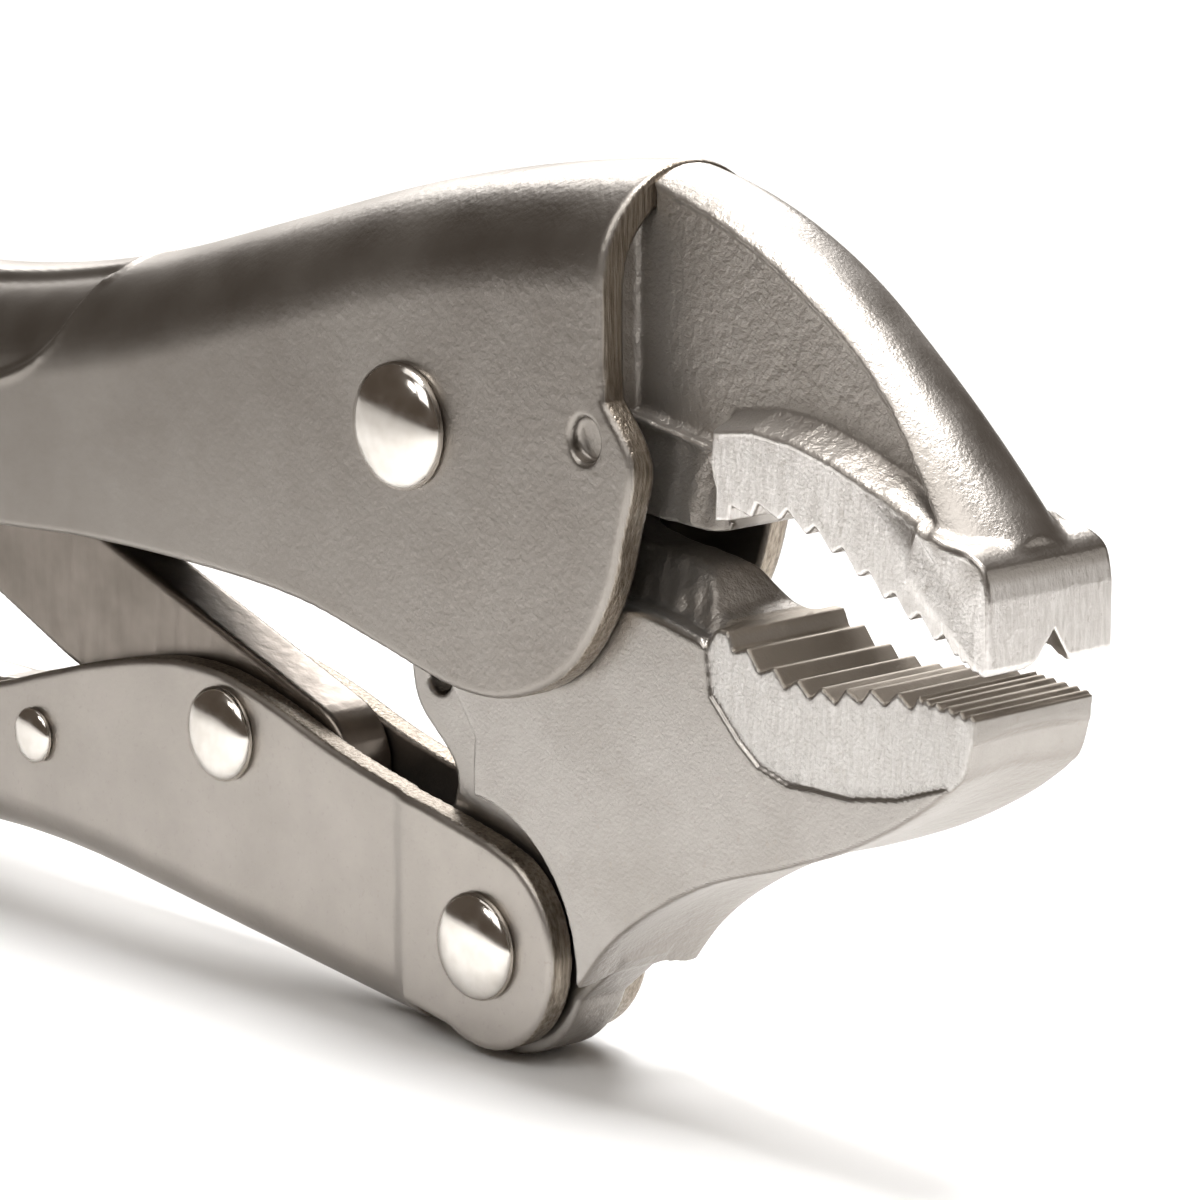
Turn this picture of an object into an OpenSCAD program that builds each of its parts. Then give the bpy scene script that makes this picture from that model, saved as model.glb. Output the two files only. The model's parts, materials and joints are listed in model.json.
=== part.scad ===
/* [Main sizes] */
// Overall length, from the jaw nose to the end of the knob
overall_length = 250; // [244:1:256]
// Width of the jaws across the teeth
jaw_width = 12.7; // [12:0.1:13]
// Sheet thickness of the upper handle
upper_sheet = 2.45; // [2.2:0.05:2.6]
// Sheet thickness of the lower handle
lower_sheet = 2.3; // [2:0.05:2.4]
// Side clearance of the jaws in the upper handle
side_gap = 0.1; // [0.08:0.01:0.15]

/* [Teeth] */
// Number of coarse teeth in the upper jaw
upper_teeth = 9; // [7:1:11]
// Number of coarse teeth in the lower jaw
lower_teeth = 8; // [6:1:10]
// Depth of a coarse tooth
tooth_depth = 1.05; // [0.7:0.05:1.2]
// Depth of a fine tooth at the tips
fine_depth = 0.45; // [0.3:0.05:0.6]
// Width of the groove along the upper jaw
groove_width = 5; // [3:0.5:6]

/* [Rivets] */
// Head diameter of the main pivot rivet
main_head_d = 10; // [9.5:0.1:11.5]
// Head diameter of the front pivot rivet
front_head_d = 8.6; // [8:0.1:9]
// Head diameter of the link rivet
link_head_d = 7.9; // [7:0.1:8.5]
// Head diameter of the release lever rivet
lever_head_d = 4.8; // [4.2:0.1:5.5]
// Radial running clearance of a pivot
running_gap = 0.05; // [0.03:0.01:0.08]

/* [Adjusting screw] */
// Thread diameter
screw_d = 8; // [7.5:0.1:8.5]
// Thread pitch
pitch = 1.25; // [1:0.05:1.5]
// Knob diameter
knob_d = 16; // [14:0.5:17]
// Knob length
knob_length = 15; // [13:0.5:16]
// Number of flutes around the knob
knob_flutes = 28; // [20:1:32]

/* [Return spring] */
// Coil diameter over the wire centres
coil_d = 5.4; // [5:0.1:5.8]
// Wire diameter
wire_d = 0.9; // [0.8:0.05:1]
// Number of turns
coil_turns = 18; // [14:1:20]

/* [Hidden] */
$fn = 64;

// Pivots as [x, z], measured from the main pivot, with the jaws closed and locked
main_pivot = [0, 0];
front_pivot = [4.4, -41];
link_pivot = [-27.7, -29.9];
lever_pivot = [-53.3, -34.7];

// The tool stands on its front lug and on the tail of the lower handle
nose_x = 60;
knob_end_x = nose_x - overall_length;
lug_r = 9.2;
floor_z = front_pivot.y - lug_r;
to_frame = [overall_length / 2 - nose_x, 0, -floor_z];

jaw_half = jaw_width / 2;
upper_inner = jaw_half + side_gap;
upper_half = upper_inner + upper_sheet;

// The steepest slope of a bent back: its sine is 0.28 and its cosine 0.96
slope = asin(0.28);

// Upper handle crest: a drop to the collar, a flat, a hollow bend, a ramp, then the swell
rear_crest_z = 3.6;
drop_x = -130;
drop_r = 100;
hollow_x = -76;
hollow_r = 160;
hollow_centre = [hollow_x, rear_crest_z + hollow_r];
ramp_length = 20;
ramp_end = hollow_centre + hollow_r * [0.28, -0.96] + ramp_length * [0.96, 0.28];
swell_r = 180;
swell_centre = ramp_end + swell_r * [0.28, -0.96];
front_slope = 5;
mouth_x = 22.5;
handle_depth = 46;

// Upper jaw rib: an arc from the mouth of the handle, then a flatter one to the nose
rib_r = 44.7;
rib_turn = acos(0.6);
rib_end_r = 130;
rib_centre = [15.6, -22.3];
rib_end_centre = rib_centre - (rib_end_r - rib_r) * [0.6, 0.8];
web_r = 43.2;
web_half = 3.6;
land_half = 4.2;

// Lower jaw
boss_r = 10.2;
boss_gap = 1.8;
neck_half = 2.8;
lug_half = 2.5;
lug_recess_r = 11.3;

// Lower handle
ear_r = 8.4;
ear_inner = lug_half + 0.45;
ear_outer = ear_inner + lower_sheet;
wall_inner = ear_inner - 0.35;
wall_outer = wall_inner + lower_sheet;
link_half = wall_inner - 0.2;
lever_half = wall_inner - 0.3;
tail_end_x = -167;

// Its back, in a frame that starts on the front of the back and leans by the rise
spine_front = [-5.5, -50];
rise = 6.5;
rise_length = 39;
arch_r = 125;
sag_r = 235;

// Toggle link: its length, its slope and the widths along it
link_length = 62;
link_slope = 18.8;
link_w = 6.2;
link_tip_r = 4.2;
link_nose = 13;
link_end = link_pivot + link_length * [-cos(link_slope), sin(link_slope)];

// Rivet shanks
main_shank_r = 3.6;
front_shank_r = 2.9;
link_shank_r = 2.5;
lever_shank_r = 1.5;

// Screw axis, level and in line with the end of the link
screw_z = link_end.y;
screw_r = screw_d / 2;
tip_gap = 2.9;
screw_tip_x = link_end.x - tip_gap;
knob_start_x = knob_end_x + knob_length;
collar_end_x = knob_start_x + 2.5;
collar_length = 20;
collar_r = 8.4;
bush_r = 6.3;
channel_end_x = collar_end_x + 15;

// Return spring, from the rear ear of the lower jaw to its anchor
spring_front = [-3.4, -21.4];
spring_rear = [-49, 0.6];
front_hook = 11;
rear_hook = 5;
hook_hole_r = 1.3;
anchor_half = 1;
leg_gap = 0.75;

// A point of a smooth curve through the points p, with s from 0 to 1
function on_curve(p, s) =
    let (m = len(p) - 1, u = min(s * m, m - 0.000001), i = floor(u), t = u - i,
         a = p[max(i - 1, 0)], b = p[i], c = p[i + 1], d = p[min(i + 2, m)])
    0.5 * (2 * b + (c - a) * t + (2 * a - 5 * b + 4 * c - d) * t * t
           + (3 * b - a - 3 * c + d) * t * t * t);

// A smooth curve through the points p, in n steps for each of their gaps
function curve(p, n = 5) =
    let (steps = n * (len(p) - 1)) [for (k = [0 : steps]) on_curve(p, k / steps)];

// An arc round c
function arc(c, r, from, to, n = 12) =
    [for (k = [0 : n]) c + r * [cos(from + (to - from) * k / n), sin(from + (to - from) * k / n)]];

// Unit normal on the left of the curve p at s
function normal(p, s) =
    let (d = on_curve(p, min(s + 0.01, 1)) - on_curve(p, max(s - 0.01, 0)))
    [-d.y, d.x] / norm(d);

// Teeth along the curve p: crests on the curve, roots a depth away on its left
function teeth(p, count, depth, root) =
    [for (k = [0 : count - 1]) each [
        on_curve(p, k / count),
        on_curve(p, (k + root) / count) + depth * normal(p, (k + root) / count)]];

// A plate of width w across the tool, from an outline in [x, z]
module plate(outline, w) {
    rotate([90, 0, 0]) linear_extrude(w, center = true) polygon(outline);
}

// A pair of plates, one on each side, between y = inner and y = outer
module side_plates(outline, inner, outer) {
    for (s = [-1, 1])
        translate([0, s * (inner + outer) / 2, 0]) plate(outline, outer - inner);
}

// A round bar across the tool at p
module cross_bar(p, r, w) {
    translate([p.x, 0, p.y]) rotate([90, 0, 0]) cylinder(r = r, h = w, center = true);
}

// A bar with a half-round back, as a 2D section with the back at the origin
module backed_bar(half, depth) {
    translate([-half, 0]) circle(half);
    translate([-depth, -half]) square([depth - half, 2 * half]);
}

// A channel with a half-round back, as a 2D section
module channel_section(half, sheet, depth) {
    difference() {
        backed_bar(half, depth);
        translate([-sheet, 0]) backed_bar(half - sheet, depth);
    }
}

// Bends a 2D section along an arc, with the section's back at radius r
module bend(c, r, from, sweep) {
    translate([c.x, 0, c.y]) rotate([90, 0, 0]) rotate([0, 0, from])
        rotate_extrude(angle = sweep, $fn = 200) translate([r, 0]) children();
}

// The same, cut off square where the next bend starts
module cut_bend(c, r, from, to) {
    reach = r + 60;
    intersection() {
        bend(c, r, from, to - from + 1) children();
        translate([c.x, 0, c.y]) rotate([90, 0, 0]) rotate([0, 0, to])
            translate([0, -reach, -20]) cube([reach, reach, 40]);
    }
}

// A rivet across the tool with two domed heads
module rivet(p, shank_r, half, head_d, head_h) {
    dome_r = (pow(head_d / 2, 2) + pow(head_h, 2)) / (2 * head_h);
    cross_bar(p, shank_r, 2 * half);
    for (s = [0, 180])
        translate([p.x, 0, p.y]) rotate([90, 0, s]) translate([0, 0, half])
            intersection() {
                cylinder(d = head_d, h = head_h);
                translate([0, 0, head_h - dome_r]) sphere(dome_r);
            }
}

// Side outline of the upper handle, with the lobe over the lower jaw at its front
module upper_handle_outline(w) {
    plate(concat(
        [[mouth_x, 40], [mouth_x, 8]],
        curve([[22.7, 5], [25.8, 0.6], [24.8, -4.5], [22.8, -10.6], [18.6, -16.2], [12.4, -19.3],
               [5.5, -19.7], [-4, -17.7], [-13, -15.9], [-24, -15.2], [-40, -15.2], [-56, -16.2],
               [-80, -17], [-120, -17.2]]),
        [[channel_end_x + 3, -17.2], [channel_end_x, -15], [channel_end_x, 40]]), w);
}

module upper_handle() {
    color("#b5aca3") difference() {
        union() {
            intersection() {
                upper_handle_outline(2 * upper_half + 2);
                union() {
                    bend([drop_x, rear_crest_z - drop_r], drop_r, 90, slope)
                        channel_section(upper_half, upper_sheet, handle_depth);
                    translate([hollow_x, 0, rear_crest_z]) rotate([0, -90, 0])
                        linear_extrude(hollow_x - drop_x)
                            channel_section(upper_half, upper_sheet, handle_depth);
                    cut_bend(hollow_centre, hollow_r, -90, -90 + slope)
                        mirror([1, 0]) channel_section(upper_half, upper_sheet, handle_depth);
                    translate([ramp_end.x, 0, ramp_end.y]) rotate([0, -90 - slope, 0])
                        linear_extrude(ramp_length)
                            channel_section(upper_half, upper_sheet, handle_depth);
                    bend(swell_centre, swell_r, 90 + slope, front_slope - 1.2 - slope)
                        channel_section(upper_half, upper_sheet, handle_depth);
                }
            }
            translate([collar_end_x, 0, screw_z]) rotate([0, 90, 0]) {
                cylinder(r1 = collar_r - 1, r2 = collar_r, h = 1);
                translate([0, 0, 1]) cylinder(r = collar_r, h = collar_length - 1);
            }
        }
        translate([collar_end_x - 1, 0, screw_z]) rotate([0, 90, 0])
            cylinder(r = bush_r, h = collar_length + 2);
        cross_bar(main_pivot, main_shank_r, 40);
    }
}

// Gripping edge of the upper jaw, from the throat to the tip
upper_grip = [[33.6, -2.6], [38.3, -1.8], [43.2, -3], [48, -5.2], [52.6, -7.2], [56.6, -8.9]];
upper_tip = [[56.6, -8.9], [59.2, -9.9]];

module fixed_jaw() {
    tang_r = swell_r - upper_sheet - side_gap;
    color("#c0b7ad") difference() {
        union() {
            // Tang inside the handle, hollowed round the boss of the lower jaw
            intersection() {
                plate(concat(
                    [[mouth_x, 40], [-4, 40]],
                    arc([0, 0], boss_r + boss_gap, 109.5, 8),
                    [[15, -2], [18.5, -4], [mouth_x, -4.3]]), jaw_width + 2);
                bend(swell_centre, tang_r, 90 + slope, front_slope - 1.5 - slope)
                    backed_bar(jaw_half, handle_depth);
            }
            // Jaw with its ribbed back
            intersection() {
                plate(concat(
                    [[mouth_x, 40], [mouth_x, -4.3], [28.5, -4.5], [31.4, -3.9], [32, -2.9]],
                    teeth(upper_grip, upper_teeth, tooth_depth, 0.24),
                    teeth(upper_tip, 3, fine_depth, 0.4),
                    [upper_tip[1], [60, -9], [60, 40]]), jaw_width + 2);
                union() {
                    bend(rib_centre, rib_r, rib_turn, 30) backed_bar(jaw_half, rib_r - 1);
                    bend(rib_end_centre, rib_end_r, rib_turn, -16) backed_bar(jaw_half, rib_r - 1);
                }
            }
            // Nose block, square across the tip
            plate(concat(
                curve([[52.6, 0.2], [55.6, -0.9], [57.8, -1.6], [59.4, -2.8], [nose_x, -4.8]], 4),
                [[nose_x, -9.2], upper_tip[1]],
                [[56.6, -7.6], [52, -4]]), jaw_width);
        }
        // Recess of the web on each side, and the lower step of the throat
        intersection() {
            side_plates(concat(
                [[22, 2], [22, 30], [60, 30], [56, -2]],
                curve([[53, -0.6], [49.3, 2], [44.2, 4.1], [39, 5.2], [34.6, 5.3], [31.6, 4],
                       [30.8, 1.4]])), web_half, jaw_half + 1);
            cross_bar(rib_centre, web_r, 30);
        }
        side_plates([[21.5, 2.2], [31.2, 1.2], [31.6, -2.5], [31, -6], [21.5, -6]],
                    land_half, jaw_half + 1);
        // Groove along the teeth
        translate([nose_x, 0, -9.9]) rotate([0, 24, 0]) rotate([90, 0, -90])
            linear_extrude(34, center = true)
                polygon([[-groove_width / 2, -0.6], [0.35, 2.4], [groove_width / 2, -0.6]]);
    }
}

module main_pivot_rivet() {
    color("#d8d2ca") rivet(main_pivot, main_shank_r, upper_half, main_head_d, 2.3);
}

// Gripping edge of the lower jaw, from the throat to the fine teeth, then to the tip
lower_grip = [[33.2, -11], [38.1, -12.8], [43, -13.4], [48, -12.6], [52.9, -12.3]];
lower_tip = [[52.9, -12.3], [58.7, -12.8]];

module lower_jaw() {
    underside = curve([[58.4, -15.2], [57.7, -17.4], [56.4, -18.8], [52.3, -21.8],
                       [46.3, -25.1], [39.5, -27.9], [31.6, -30.7], [25, -34.3], [20.2, -38],
                       [16.6, -42.3]], 4);
    color("#bab1a7") difference() {
        union() {
            // Body with the boss on the main pivot
            plate(concat(
                arc(main_pivot, boss_r, 222, 0, 24),
                curve([[13.5, -4.4], [19, -6.6], [24.5, -7.3], [27.2, -7.8], [28.6, -8.9], [29.8, -10.4],
                       [31.4, -10.9]], 4),
                reverse_teeth(), underside,
                arc(front_pivot, lug_recess_r + 1, -14, 88, 8),
                [[4.6, -29.4], [5.2, -20]]), jaw_width);
            // Thin lug for the front pivot, and the ear that the spring hooks into
            plate(concat(
                arc(front_pivot, lug_r, 150, 340, 24), [[18, -40], [20, -34], [8, -18], [-3, -17.5]],
                curve([[-7, -20.4], [-6, -24], [-1.6, -28.6], [-3.2, -34]], 4)), 2 * lug_half);
        }
        // Narrow neck in the throat
        side_plates(concat(
            [[12, -6], [19, 0], [30, 0], [32.6, -8.6], [30.9, -12.2]],
            curve([[30.4, -12], [25, -10.9], [19.5, -10.7], [14, -9.5]], 3)),
            neck_half, jaw_half + 1);
        // Room for the ears of the lower handle
        for (s = [-1, 1])
            translate([front_pivot.x, s * (jaw_half + 1 + lug_half) / 2, front_pivot.y])
                rotate([90, 0, 0])
                    cylinder(r = lug_recess_r, h = jaw_half + 1 - lug_half, center = true);
        cross_bar(main_pivot, main_shank_r + running_gap, 30);
        cross_bar(front_pivot, front_shank_r + running_gap, 30);
        cross_bar(spring_front, hook_hole_r, 30);
    }
}

// The lower jaw's teeth point up, so their curve runs back to front with roots below it
function reverse_teeth() = concat(
    [for (k = [0 : lower_teeth - 1]) each [
        on_curve(lower_grip, k / lower_teeth),
        on_curve(lower_grip, (k + 0.56) / lower_teeth)
            - tooth_depth * normal(lower_grip, (k + 0.56) / lower_teeth)]],
    [for (k = [0 : 5]) each [
        on_curve(lower_tip, k / 6),
        on_curve(lower_tip, (k + 0.5) / 6) - [0, fine_depth]]],
    [lower_tip[1]]);

module front_pivot_rivet() {
    color("#d8d2ca") rivet(front_pivot, front_shank_r, ear_outer, front_head_d, 1.9);
}

// Side outline of the lower handle, from its front ear to its tail, open below the channel
function lower_handle_outline() = concat(
    arc(front_pivot, ear_r, -118, 62, 20),
    curve([[5.4, -32.6], [-1.5, -31.2], [-7.5, -30.2], [-14.5, -28.6], [-22.5, -26.2],
           [-29, -24.9], [-36, -25.1], [-44.5, -26.9], [-52, -29], [-60, -31.4], [-72, -34],
           [-92, -36.2], [-124, -37.6], [-148, -37], [-162, -37.6], [tail_end_x, -40.6]], 4),
    [[tail_end_x, -60], [-5.2, -60], [-5.2, -47.5]]);

// Straight behind the ears, then an arch, then a long sag to the tail
module lower_channel() {
    arch_centre = [-rise_length, -arch_r];
    translate([-rise_length, 0, 0]) rotate([0, 90, 0]) linear_extrude(rise_length)
        channel_section(wall_outer, lower_sheet, 30);
    cut_bend(arch_centre, arch_r, 90, 90 + slope)
        mirror([1, 0]) channel_section(wall_outer, lower_sheet, 30);
    bend(arch_centre + (arch_r + sag_r) * [-0.28, 0.96], sag_r, -90 + slope, -8 - slope)
        channel_section(wall_outer, lower_sheet, 30);
}

module lower_handle() {
    color("#bdb4aa") difference() {
        intersection() {
            plate(lower_handle_outline(), 30);
            union() {
                // Channel behind the ears
                translate([spine_front.x, 0, spine_front.y]) rotate([0, rise, 0])
                    lower_channel();
                // Ears, set slightly wider than the channel
                side_plates([[-7, -20], [20, -20], [20, -60], [-4, -60], [-4, -47], [-7, -46]],
                            ear_inner, ear_outer);
            }
        }
        cross_bar(front_pivot, front_shank_r, 30);
        cross_bar(link_pivot, link_shank_r, 30);
        cross_bar(lever_pivot, lever_shank_r, 30);
    }
}

module link_rivet() {
    color("#d8d2ca") rivet(link_pivot, link_shank_r, wall_outer, link_head_d, 1.8);
}

// Places the link's own frame, which has its pivot at the origin and its end on -x
module on_link() {
    translate([link_pivot.x, 0, link_pivot.y]) rotate([0, link_slope, 0]) children();
}

module toggle_link() {
    color("#a9a098") difference() {
        on_link() plate(concat(
            arc([link_nose - 5.4, link_w - 5.4], 5.4, 0, 90, 8),
            [[-24, link_w], [-link_length + 14, link_tip_r + 0.4]],
            arc([-link_length + link_tip_r, 0], link_tip_r, 90, 270, 12),
            [[-link_length + 14, -link_tip_r - 0.4], [-24, -link_w]],
            arc([link_nose - 5.4, 5.4 - link_w], 5.4, -90, 0, 8)), 2 * link_half);
        cross_bar(link_pivot, link_shank_r + running_gap, 30);
    }
}

module release_lever() {
    color("#a9a098") difference() {
        union() {
            plate(concat(
                arc(lever_pivot + [9.5, -0.9], 2.5, -80, 100, 8),
                arc(lever_pivot, 4.2, 80, 100, 3),
                curve([[-62, -31.6], [-90, -31.4], [-120, -29.8], [-142, -26.6], [-156, -22.6],
                       [-163, -19.6]], 4),
                curve([[-164.2, -21.6], [-157, -25], [-143, -29.4], [-121, -33.4], [-90, -36],
                       [-64, -37.6]], 4),
                arc(lever_pivot, 4, 255, 285, 4)), 2 * lever_half);
            // Wide pad for the fingers, narrowing forwards into the lever
            intersection() {
                plate(concat(
                    curve([[-126, -29], [-140, -27], [-150, -24.6], [-157.5, -21.9], [-163, -19.6]],
                          4),
                    curve([[-164.2, -21.6], [-158.4, -24], [-150.6, -26.8], [-140.4, -29.2],
                           [-126, -31.4]], 4)), 12);
                translate([0, 0, -40]) linear_extrude(40) hull() {
                    translate([-158.6, 0]) circle(5.6);
                    translate([-146, 0]) circle(5);
                    translate([-128, 0]) circle(lever_half - 0.2);
                }
            }
        }
        cross_bar(lever_pivot, lever_shank_r + running_gap, 30);
    }
}

module release_lever_rivet() {
    color("#d8d2ca") rivet(lever_pivot, lever_shank_r, wall_outer, lever_head_d, 1.1);
}

module screw_bush() {
    color("#8f8880") translate([collar_end_x, 0, screw_z]) rotate([0, 90, 0]) difference() {
        cylinder(r = bush_r, h = collar_length);
        translate([0, 0, -1]) cylinder(r = screw_r + running_gap, h = collar_length + 2);
    }
}

// The thread is shown as ridges, one for each pitch
module adjusting_screw() {
    thread_depth = 0.65;
    length = screw_tip_x - knob_start_x;
    ridges = floor((length - 6) / pitch);
    color("#9c948c") translate([knob_start_x, 0, screw_z]) rotate([0, 90, 0])
        rotate_extrude() polygon(concat(
            [[0, -8], [screw_r - 0.8, -8], [screw_r - 0.8, 1], [screw_r - thread_depth, 1]],
            [for (k = [0 : ridges - 1]) each [
                [screw_r - thread_depth, 1 + pitch * (k + 0.1)],
                [screw_r, 1 + pitch * (k + 0.45)],
                [screw_r, 1 + pitch * (k + 0.55)],
                [screw_r - thread_depth, 1 + pitch * (k + 0.9)]]],
            [[screw_r - 0.8, length - 3]],
            arc([0, length - screw_r + 0.8], screw_r - 0.8, 0, 90, 8)));
}

module adjusting_knob() {
    r = knob_d / 2;
    color("#aaa29a") translate([knob_end_x, 0, screw_z]) rotate([0, 90, 0]) difference() {
        rotate_extrude() polygon([[0, 0], [r - 1.4, 0], [r, 1.4], [r, knob_length - 1.4],
                                  [r - 1.4, knob_length], [0, knob_length]]);
        translate([0, 0, knob_length - 8.2])
            cylinder(r = screw_r - 0.8 + running_gap, h = 9);
        translate([0, 0, -1]) cylinder(d = 6.4 / cos(30), h = 6, $fn = 6);
        for (k = [0 : knob_flutes - 1])
            rotate([0, 0, 360 * k / knob_flutes]) translate([r + 0.15, 0, -1])
                cylinder(r = 0.62, h = knob_length + 2, $fn = 6);
    }
}

// Hook plate under the back of the handle
module spring_anchor() {
    color("#8f8880") difference() {
        plate([[-60, 1.7], [-50.5, 3], [-47.4, 2.8], [-46.4, 0.4], [-48, -1.8], [-52, -1.6],
               [-60, -3]], 2 * anchor_half);
        cross_bar(spring_rear, hook_hole_r, 30);
    }
}

// How far the leg of a hook stands off to the side, from its end to the coil
function leg_side(u, out) = out * min(1, u / 0.2) * min(1, (1 - u) / 0.3);

// Centre line of the spring: a leg that comes out of its hole, the coil and the other leg
function spring_point(s) =
    let (a = spring_front, span = norm(spring_rear - a), along = (spring_rear - a) / span,
         across = [-along.y, along.x], r = coil_d / 2,
         coil = span - front_hook - rear_hook, lead = 0.08,
         at_front = s < lead, at_rear = s > 1 - lead,
         u = at_front ? s / lead : at_rear ? (1 - s) / lead : 1,
         reach = max(0, (u - 0.15) / 0.85),
         v = at_front ? front_hook * reach
             : at_rear ? span - rear_hook * reach
             : front_hook + coil * (s - lead) / (1 - 2 * lead),
         turn = 360 * coil_turns * (min(max(s, lead), 1 - lead) - lead) / (1 - 2 * lead),
         out = at_front ? lug_half + leg_gap : anchor_half + leg_gap,
         c = a + along * v + across * r * reach * cos(turn))
    [c.x, r * reach * sin(turn) + (u < 1 ? leg_side(u, out) : 0), c.y];

module return_spring() {
    rings = coil_turns * 11;
    sides = 6;
    guide = spring_rear - spring_front;
    function frame_at(k) =
        let (p = spring_point(k / rings), q = spring_point(min(k + 1, rings) / rings),
             o = spring_point(max(k - 1, 0) / rings), d = (q - o) / norm(q - o),
             n = cross(d, [guide.x, norm(guide) / 3, guide.y]), m = n / norm(n))
        [p, m, cross(d, m)];
    ring_points = [for (k = [0 : rings]) let (f = frame_at(k))
        for (j = [0 : sides - 1])
            f[0] + wire_d / 2 * (cos(360 * j / sides) * f[1] + sin(360 * j / sides) * f[2])];
    walls = [for (k = [0 : rings - 1]) for (j = [0 : sides - 1])
        let (a = k * sides + j, b = k * sides + (j + 1) % sides)
        each [[a, b, b + sides], [a, b + sides, a + sides]]];
    color("#6f675e") polyhedron(ring_points, concat(
        [[for (j = [sides - 1 : -1 : 0]) j]], walls,
        [[for (j = [0 : sides - 1]) rings * sides + j]]), convexity = 10);
}

translate(to_frame) upper_handle();
translate(to_frame) fixed_jaw();
translate(to_frame) main_pivot_rivet();
translate(to_frame) lower_jaw();
translate(to_frame) front_pivot_rivet();
translate(to_frame) lower_handle();
translate(to_frame) link_rivet();
translate(to_frame) toggle_link();
translate(to_frame) release_lever();
translate(to_frame) release_lever_rivet();
translate(to_frame) screw_bush();
translate(to_frame) adjusting_screw();
translate(to_frame) adjusting_knob();
translate(to_frame) spring_anchor();
translate(to_frame) return_spring();
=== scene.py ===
import json
import math

import bpy
import numpy as np
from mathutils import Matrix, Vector


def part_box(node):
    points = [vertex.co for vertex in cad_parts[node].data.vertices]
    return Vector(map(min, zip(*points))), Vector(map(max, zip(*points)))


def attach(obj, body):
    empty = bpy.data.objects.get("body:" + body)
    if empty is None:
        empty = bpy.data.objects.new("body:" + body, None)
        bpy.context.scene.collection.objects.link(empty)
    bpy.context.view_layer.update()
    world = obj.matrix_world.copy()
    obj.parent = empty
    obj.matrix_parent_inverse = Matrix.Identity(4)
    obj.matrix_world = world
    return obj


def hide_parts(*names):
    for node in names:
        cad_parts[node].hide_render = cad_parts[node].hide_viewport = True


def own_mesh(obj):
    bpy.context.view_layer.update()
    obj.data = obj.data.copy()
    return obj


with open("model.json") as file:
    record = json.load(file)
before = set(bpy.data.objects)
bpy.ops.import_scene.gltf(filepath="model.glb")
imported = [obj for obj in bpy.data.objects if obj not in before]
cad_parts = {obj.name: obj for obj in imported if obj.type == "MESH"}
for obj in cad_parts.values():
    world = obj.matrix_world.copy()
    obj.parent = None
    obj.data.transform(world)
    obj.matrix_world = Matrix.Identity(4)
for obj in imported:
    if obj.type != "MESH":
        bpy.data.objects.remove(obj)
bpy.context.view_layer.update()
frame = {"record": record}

MM = 0.001
JOINTS = {j["name"]: j for j in frame["record"]["behaviour"]["joints"]}
ORIGIN = np.array(JOINTS["jaw_opening"]["pos_m"])


def pivot(joint):
    """A joint's place as [x, z], in millimetres from the main pivot."""
    p = (np.array(JOINTS[joint]["pos_m"]) - ORIGIN) / MM
    return np.array([p[0], p[2]])


def node_box(name):
    """A CAD node's box as (low, high), in millimetres from the main pivot."""
    low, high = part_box(name)
    return (np.array(low) - ORIGIN) / MM, (np.array(high) - ORIGIN) / MM


FRONT, LINK, LEVER = pivot("lower_handle_fold"), pivot("toggle_link_swing"), pivot("release_lever_press")
SCREW_Z = pivot("knob_turn")[1]
MAIN = np.array([0.0, 0.0])

# ---------------------------------------------------------------- outlines


def curve(points, steps=6):
    """A smooth curve through the points, in [x, z]."""
    p = np.asarray(points, float)
    out = []
    for i in range(len(p) - 1):
        a, b, c, d = p[max(i - 1, 0)], p[i], p[i + 1], p[min(i + 2, len(p) - 1)]
        for k in range(steps):
            t = k / steps
            out.append(0.5 * (2 * b + (c - a) * t + (2 * a - 5 * b + 4 * c - d) * t * t
                              + (3 * b - a - 3 * c + d) * t ** 3))
    return out + [p[-1]]


def on_curve(points, s):
    """The point of that curve at s, from 0 to 1, and its left-hand normal."""
    line = np.array(curve(points, 40))
    i = s * (len(line) - 1)
    k = min(int(i), len(line) - 2)
    p = line[k] + (line[k + 1] - line[k]) * (i - k)
    d = line[min(k + 2, len(line) - 1)] - line[max(k - 1, 0)]
    return p, np.array([-d[1], d[0]]) / np.hypot(*d)


def arc(c, r, start, end, steps=16):
    """An arc round c, in degrees."""
    return [np.asarray(c) + r * np.array([math.cos(math.radians(a)), math.sin(math.radians(a))])
            for a in np.linspace(start, end, steps + 1)]


def rounded(points, r, steps=3):
    """A closed outline with its corners cut back by r and rounded."""
    p = [np.asarray(q, float) for q in points]
    p = [q for i, q in enumerate(p) if np.hypot(*(q - p[i - 1])) > 1e-6]
    out = []
    for i, b in enumerate(p):
        a, c = p[i - 1], p[(i + 1) % len(p)]
        la, lc = np.hypot(*(a - b)), np.hypot(*(c - b))
        cut = min(r, 0.45 * la, 0.45 * lc)
        start, end = b + (a - b) * cut / la, b + (c - b) * cut / lc
        out += [(1 - t) ** 2 * start + 2 * t * (1 - t) * b + t * t * end
                for t in np.linspace(0, 1, steps + 1)]
    return out


# ---------------------------------------------------------------- solids as distance fields


class Grid:
    """Sample positions along x, y and z, in millimetres from the main pivot."""

    def __init__(self, x, y, z):
        self.x, self.y, self.z = (np.asarray(v, np.float32) for v in (x, y, z))
        self.Y = self.y[None, :, None]

    def column(self, field):
        """A field over [x, z], ready to combine with one over y."""
        return field.astype(np.float32)[:, None, :]


def steps(*spans):
    """Positions from spans of (start, end, step)."""
    out = []
    for start, end, step in spans:
        n = max(2, int(round((end - start) / step)))
        out += list(np.linspace(start, end, n, endpoint=False))
    return out + [spans[-1][1]]


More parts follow.
